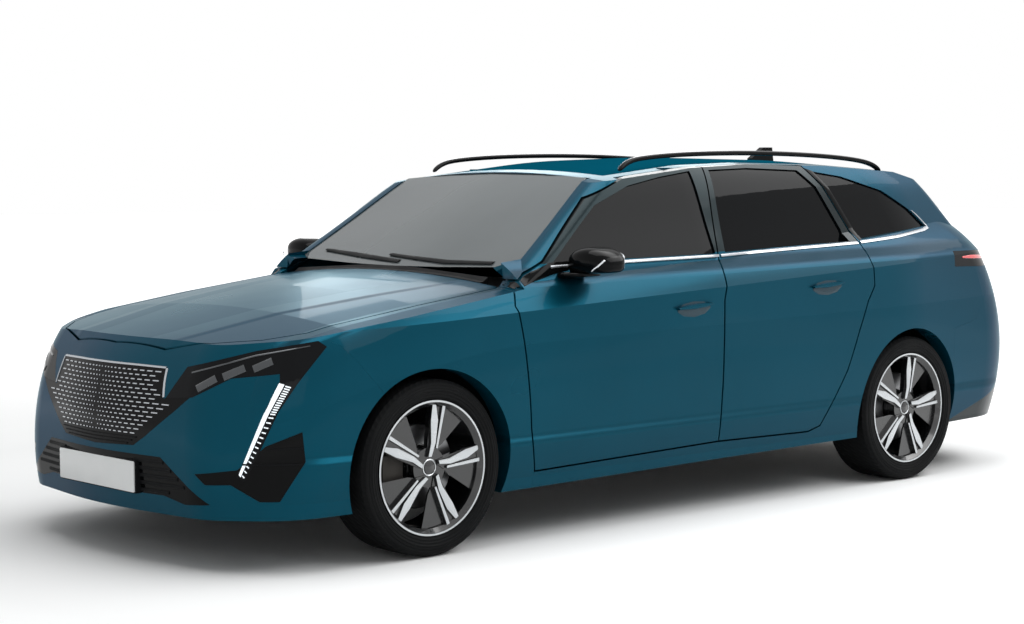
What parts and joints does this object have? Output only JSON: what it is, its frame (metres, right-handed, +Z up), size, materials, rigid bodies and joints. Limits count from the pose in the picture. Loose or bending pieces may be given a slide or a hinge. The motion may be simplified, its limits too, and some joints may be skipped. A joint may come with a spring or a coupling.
{
  "type": "station wagon",
  "caption": "Five-door estate car with hinged hood, side doors and tailgate, steered front wheels and a wide dashed grille",
  "frame": {"origin": "on the ground below the middle of the car's outer box", "axes": "+X to the front of the car, +Y to its left, +Z up"},
  "size_m": [4.6234, 2.062, 1.4839],
  "materials": {
    "body_paint": "gloss metallic",
    "glass": "tinted",
    "lamp_lens": "gloss",
    "black_trim": "gloss",
    "underbody": "satin",
    "liner_plastic": "matt",
    "engine_metal": "cast",
    "exhaust_steel": "satin",
    "cabin_plastic": "grained",
    "seat_fabric": "woven",
    "wheel_alloy": "machined and black paint",
    "tyre_rubber": "matt"
  },
  "bodies": {
    "body": {"fender_left": "body_paint", "fender_right": "body_paint", "body_side_left": "body_paint", "body_side_right": "body_paint", "roof_panel": "body_paint", "rear_bumper": "body_paint", "front_bumper": "body_paint", "windscreen": "glass", "quarter_glass": "glass", "headlamps": "lamp_lens", "tail_lamps": "lamp_lens", "side_intakes": "black_trim", "grille": "black_trim", "lower_grille": "black_trim", "cowl": "black_trim", "roof_rails": "black_trim", "roof_antenna": "black_trim", "floor_pan": "underbody", "firewall": "underbody", "front_subframe": "underbody", "rear_axle": "underbody", "front_arch_liners": "liner_plastic", "rear_arch_liners": "liner_plastic", "engine_block": "engine_metal", "exhaust": "exhaust_steel", "dashboard": "cabin_plastic", "front_seats": "seat_fabric", "rear_seat": "seat_fabric"},
    "hood": {"hood": "body_paint"},
    "tailgate": {"tailgate": "body_paint", "tailgate_glass": "glass", "tailgate_lamps": "lamp_lens"},
    "door_front_left": {"door_front_left": "body_paint", "glass_front_left": "glass", "mirror_left": "black_trim"},
    "door_rear_left": {"door_rear_left": "body_paint", "glass_rear_left": "glass"},
    "knuckle_left": {"knuckle_left": "engine_metal"},
    "wheel_front_left": {"wheel_front_left": "wheel_alloy", "tyre_front_left": "tyre_rubber"},
    "wheel_rear_left": {"wheel_rear_left": "wheel_alloy", "tyre_rear_left": "tyre_rubber"},
    "door_front_right": {"door_front_right": "body_paint", "glass_front_right": "glass", "mirror_right": "black_trim"},
    "door_rear_right": {"door_rear_right": "body_paint", "glass_rear_right": "glass"},
    "knuckle_right": {"knuckle_right": "engine_metal"},
    "wheel_front_right": {"wheel_front_right": "wheel_alloy", "tyre_front_right": "tyre_rubber"},
    "wheel_rear_right": {"wheel_rear_right": "wheel_alloy", "tyre_rear_right": "tyre_rubber"},
    "steering_wheel": {"steering_wheel": "cabin_plastic"}
  },
  "joints": [
    {"name": "hood_hinge", "type": "hinge", "parent": "body", "child": "hood", "pos_m": [1.005, 0, 0.995], "axis": [0, -1, 0], "range_deg": [0, 50]},
    {"name": "tailgate_hinge", "type": "hinge", "parent": "body", "child": "tailgate", "pos_m": [-1.478, 0, 1.402], "axis": [0, 1, 0], "range_deg": [0, 75]},
    {"name": "door_front_left_hinge", "type": "hinge", "parent": "body", "child": "door_front_left", "pos_m": [1.048, 0.907, 0.6], "axis": [0, 0, -1], "range_deg": [0, 68]},
    {"name": "door_rear_left_hinge", "type": "hinge", "parent": "body", "child": "door_rear_left", "pos_m": [-0.036, 0.91, 0.6], "axis": [0, 0, -1], "range_deg": [0, 70]},
    {"name": "steer_left", "type": "hinge", "parent": "body", "child": "knuckle_left", "pos_m": [1.456, 0.74, 0.3185], "axis": [0, 0, 1], "range_deg": [-34, 34]},
    {"name": "wheel_front_left_spin", "type": "hinge", "parent": "knuckle_left", "child": "wheel_front_left", "pos_m": [1.456, 0.7795, 0.3185], "axis": [0, 1, 0], "continuous": true},
    {"name": "wheel_rear_left_spin", "type": "hinge", "parent": "body", "child": "wheel_rear_left", "pos_m": [-1.276, 0.7795, 0.3185], "axis": [0, 1, 0], "continuous": true},
    {"name": "door_front_right_hinge", "type": "hinge", "parent": "body", "child": "door_front_right", "pos_m": [1.048, -0.907, 0.6], "axis": [0, 0, 1], "range_deg": [0, 68]},
    {"name": "door_rear_right_hinge", "type": "hinge", "parent": "body", "child": "door_rear_right", "pos_m": [-0.036, -0.91, 0.6], "axis": [0, 0, 1], "range_deg": [0, 70]},
    {"name": "steer_right", "type": "hinge", "parent": "body", "child": "knuckle_right", "pos_m": [1.456, -0.74, 0.3185], "axis": [0, 0, 1], "range_deg": [-34, 34]},
    {"name": "wheel_front_right_spin", "type": "hinge", "parent": "knuckle_right", "child": "wheel_front_right", "pos_m": [1.456, -0.7795, 0.3185], "axis": [0, 1, 0], "continuous": true},
    {"name": "wheel_rear_right_spin", "type": "hinge", "parent": "body", "child": "wheel_rear_right", "pos_m": [-1.276, -0.7795, 0.3185], "axis": [0, 1, 0], "continuous": true},
    {"name": "steering_wheel_turn", "type": "hinge", "parent": "body", "child": "steering_wheel", "pos_m": [0.5214, 0.37, 0.8746], "axis": [0.9404, 0, -0.3401], "range_deg": [-480, 480]}
  ],
  "couplings": [
    {"joint": "steer_right", "follows": "steer_left", "ratio": 1},
    {"joint": "steering_wheel_turn", "follows": "steer_left", "ratio": -14}
  ]
}
